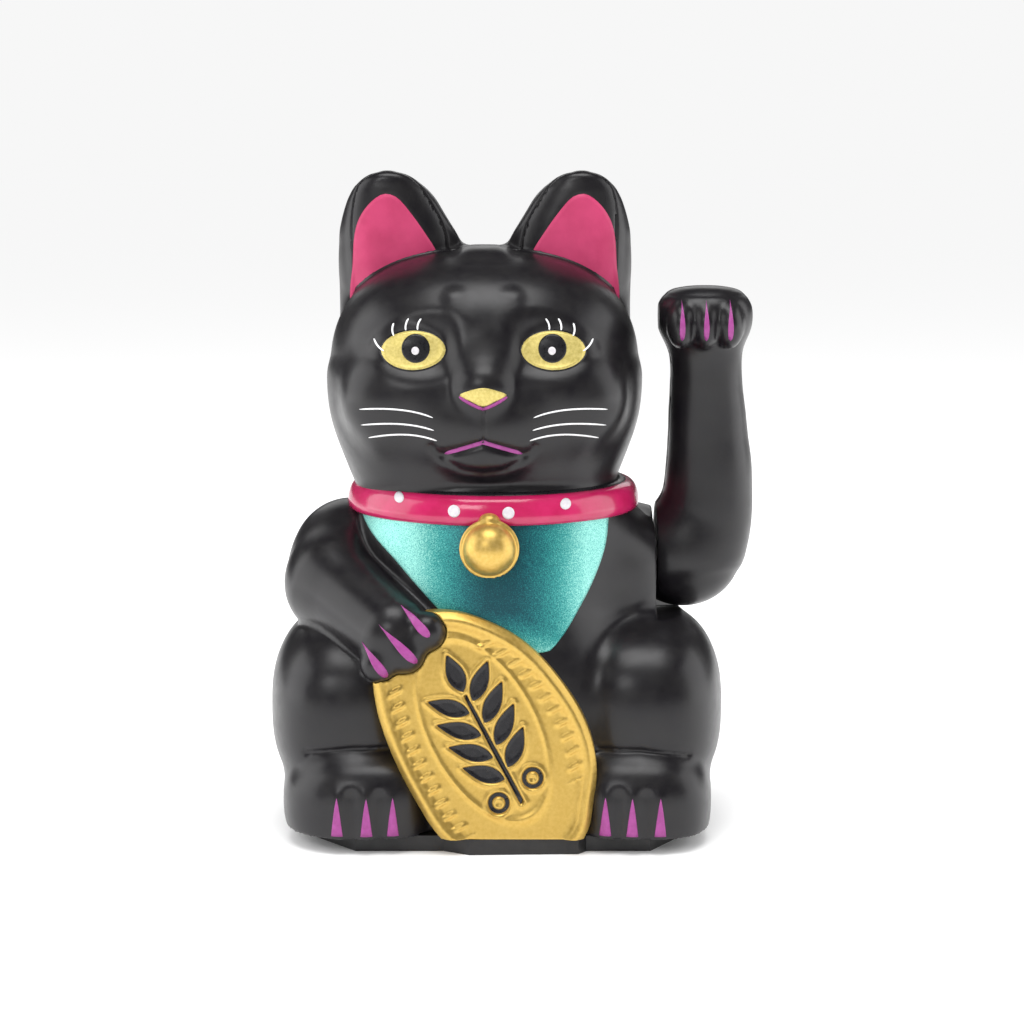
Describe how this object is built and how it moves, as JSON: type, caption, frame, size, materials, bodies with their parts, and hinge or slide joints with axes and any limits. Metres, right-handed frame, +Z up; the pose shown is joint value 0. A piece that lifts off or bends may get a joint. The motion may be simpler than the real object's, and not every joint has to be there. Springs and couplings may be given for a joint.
{
  "type": "beckoning cat figurine",
  "caption": "Hollow moulded beckoning cat figurine with a battery driven waving arm, painted collar, bib, bell and a coin held against the belly.",
  "frame": {"origin": "centre of the underside of the base plate", "axes": "+Z up to the ear tips, -Y the way the cat faces, +X the side of the waving arm"},
  "size_m": [0.1127, 0.089, 0.15],
  "materials": {
    "shell_black": "satin",
    "collar_pink": "gloss",
    "ear_pink": "matte",
    "gold_paint": "satin",
    "eye_yellow": "satin",
    "bib_teal": "satin",
    "claw_purple": "satin",
    "white_paint": "satin",
    "ink_black": "gloss",
    "base_black": "satin",
    "cell_wrap": "gloss",
    "plated_steel": "satin",
    "frame_plastic": "satin",
    "steel_wire": "polished",
    "weight_steel": "satin",
    "magnet_plated": "polished",
    "bobbin_plastic": "satin",
    "copper_winding": "gloss",
    "board_laminate": "satin",
    "component_black": "matte",
    "lead_red": "satin",
    "lead_black": "satin",
    "screw_steel": "satin"
  },
  "bodies": {
    "cat_body": {"front_shell": "shell_black", "back_shell": "shell_black", "base_plate": "base_black", "battery_cell": "cell_wrap", "battery_spring_contact": "plated_steel", "battery_plate_contact": "plated_steel", "mechanism_frame": "frame_plastic", "coil_bobbin": "bobbin_plastic", "drive_coil": "copper_winding", "circuit_board": "board_laminate", "driver_chip": "component_black", "capacitor": "component_black", "lead_red": "lead_red", "lead_black": "lead_black", "base_screws": "screw_steel", "frame_screws": "screw_steel", "board_screws": "screw_steel"},
    "waving_arm": {"arm_front_half": "shell_black", "arm_back_half": "shell_black", "axle": "steel_wire", "axle_clip": "steel_wire", "pendulum_lever": "frame_plastic", "balance_weight": "weight_steel", "magnet": "magnet_plated"},
    "battery_door": {"battery_door": "base_black"}
  },
  "joints": [
    {"name": "arm_swing", "type": "hinge", "parent": "cat_body", "child": "waving_arm", "pos_m": [0.014, 0, 0.0594], "axis": [1, 0, 0], "range_deg": [-18, 18]},
    {"name": "battery_door_off", "type": "slide", "parent": "cat_body", "child": "battery_door", "axis": [0, 0, -1], "range_m": [0, 0.025]}
  ]
}
